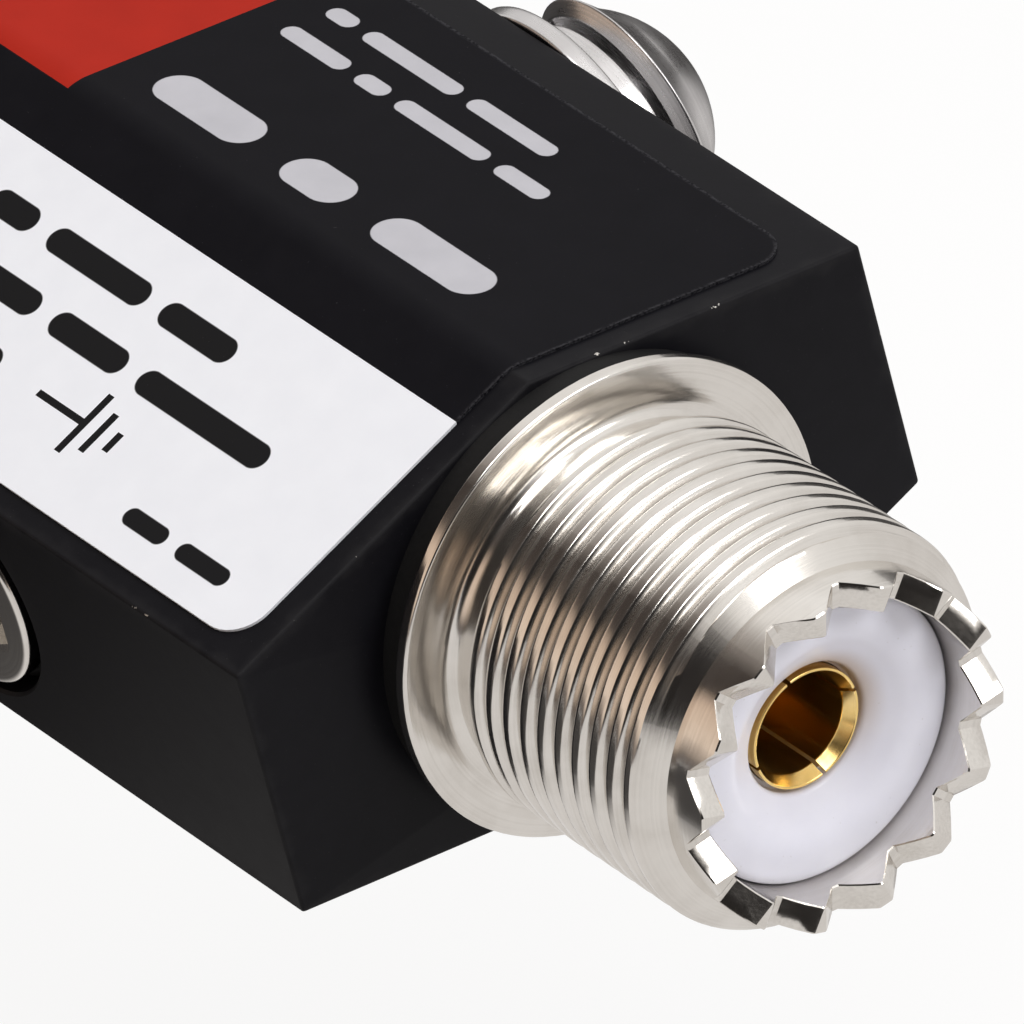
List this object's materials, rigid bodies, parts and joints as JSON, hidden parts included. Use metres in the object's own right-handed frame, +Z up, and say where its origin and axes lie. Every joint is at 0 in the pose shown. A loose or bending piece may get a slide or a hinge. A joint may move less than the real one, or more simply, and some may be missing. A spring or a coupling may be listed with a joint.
{
  "type": "coax lightning arrestor",
  "caption": "In-line coax surge arrestor: black ridged housing with a threaded socket, a plug with a turning coupling ring, a gas tube under a screwed cap and a ground screw.",
  "frame": {"origin": "on the coax line at the face of the plug's insulator, where the plug's pin stands out", "axes": "+X along the coax line from the plug to the socket, +Y toward the ground screw, +Z up through the labelled ridge"},
  "size_m": [0.0715, 0.0353, 0.0191],
  "materials": {
    "black_paint": "semi-gloss black paint on cast metal, worn bare at the corners",
    "printed_film": "satin printed film in black, white and red fields",
    "nickel": "bright nickel plate on turned brass",
    "black_rubber": "matt black rubber",
    "white_insulator": "white moulded insulator",
    "gold_plate": "gold plate, bright",
    "bare_brass": "turned brass",
    "tube_ceramic": "plain fired ceramic",
    "plated_steel": "bright zinc plate on steel"
  },
  "bodies": {
    "arrestor": {"housing": "black_paint", "wrap_label": "printed_film", "socket_shell": "nickel", "socket_gasket": "black_rubber", "socket_insulator": "white_insulator", "socket_contact": "gold_plate", "plug_shell": "nickel", "plug_gasket": "black_rubber", "plug_insulator": "white_insulator", "plug_pin": "gold_plate", "coupling_clip": "plated_steel", "line_conductor": "bare_brass", "tube_ceramic": "tube_ceramic", "tube_line_electrode": "plated_steel", "tube_earth_electrode": "plated_steel", "tube_sleeve": "white_insulator", "tube_spring": "plated_steel"},
    "coupling": {"coupling_ring": "nickel"},
    "ground_washers": {"ground_spring_washer": "plated_steel", "ground_washer": "plated_steel"},
    "ground_screw": {"ground_screw": "plated_steel"},
    "seal": {"cap_seal": "black_rubber"},
    "cap": {"tube_cap": "nickel"}
  },
  "joints": [
    {"name": "coupling_spin", "type": "hinge", "parent": "arrestor", "child": "coupling", "pos_m": [0, 0, 0], "axis": [-1, 0, 0], "continuous": true},
    {"name": "ground_back_off", "type": "slide", "parent": "arrestor", "child": "ground_washers", "axis": [0, 1, 0], "range_m": [0, 0.0024]},
    {"name": "ground_screw_turn", "type": "hinge", "parent": "ground_washers", "child": "ground_screw", "pos_m": [0.0268, 0.0147, 0], "axis": [0, 1, 0], "range_deg": [0, 1080]},
    {"name": "cap_back_off", "type": "slide", "parent": "arrestor", "child": "seal", "axis": [0, -1, 0], "range_m": [0, 0.00187]},
    {"name": "cap_turn", "type": "hinge", "parent": "seal", "child": "cap", "pos_m": [0.0268, -0.0147, 0], "axis": [0, -1, 0], "range_deg": [0, 900]}
  ],
  "couplings": [
    {"joint": "ground_screw_turn", "follows": "ground_back_off", "rad_per_m": 7854},
    {"joint": "cap_turn", "follows": "cap_back_off", "rad_per_m": 8377.6}
  ]
}
